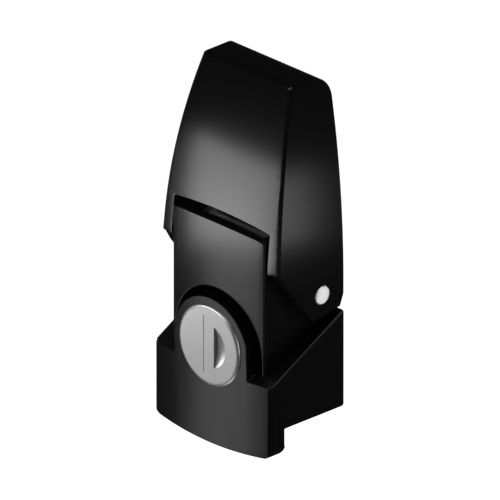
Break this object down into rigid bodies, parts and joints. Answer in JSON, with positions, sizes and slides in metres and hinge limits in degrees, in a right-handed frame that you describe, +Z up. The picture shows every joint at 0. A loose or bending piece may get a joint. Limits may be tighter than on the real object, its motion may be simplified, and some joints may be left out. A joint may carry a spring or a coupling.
{
  "type": "lockable draw latch",
  "caption": "Lockable over-centre draw latch: finger-lip handle with key lock, lever frame, covered claw with steel hook, and a screw-on bracket.",
  "frame": {"origin": "centre of the four panel screw holes, on the panel", "axes": "+X to the right seen from the front, +Y from the front into the panel, +Z up towards the keeper"},
  "size_m": [0.0376, 0.0239, 0.088],
  "materials": {
    "black_coat": "smooth black coat on die-cast zinc, semi-gloss",
    "zinc_steel": "bright zinc plate on steel",
    "bright_steel": "bright ground steel",
    "lock_chrome": "satin chrome plate on die-cast zinc",
    "seal_rubber": "black rubber"
  },
  "bodies": {
    "bracket": {"bracket": "zinc_steel", "fulcrum_pin": "bright_steel", "fulcrum_spacer": "zinc_steel", "lock_catch": "zinc_steel", "catch_rivets": "zinc_steel"},
    "lever": {"lever_frame": "black_coat", "handle_shell": "black_coat", "frame_screws": "zinc_steel", "lock_housing": "lock_chrome", "flange_seal": "seal_rubber", "lock_washer": "zinc_steel", "lock_nut": "zinc_steel"},
    "plug": {"lock_plug": "lock_chrome", "plug_clip": "bright_steel", "lock_cam": "zinc_steel", "cam_washer": "zinc_steel", "cam_screw": "zinc_steel"},
    "claw": {"claw_shell": "black_coat", "claw_pin": "bright_steel", "hook_plate": "bright_steel", "hook_screws": "zinc_steel"}
  },
  "joints": [
    {"name": "lever_swing", "type": "hinge", "parent": "bracket", "child": "lever", "pos_m": [0, -0.012, 0.022], "axis": [-1, 0, 0], "range_deg": [0, 90]},
    {"name": "lock_turn", "type": "hinge", "parent": "lever", "child": "plug", "pos_m": [0, -0.0239, 0.0001], "axis": [0, 1, 0], "range_deg": [0, 90]},
    {"name": "claw_swing", "type": "hinge", "parent": "lever", "child": "claw", "pos_m": [0, -0.0067, 0.0131], "axis": [1, 0, 0], "range_deg": [0, 72]}
  ],
  "couplings": [
    {"joint": "claw_swing", "follows": "lever_swing", "ratio": 0.8}
  ]
}
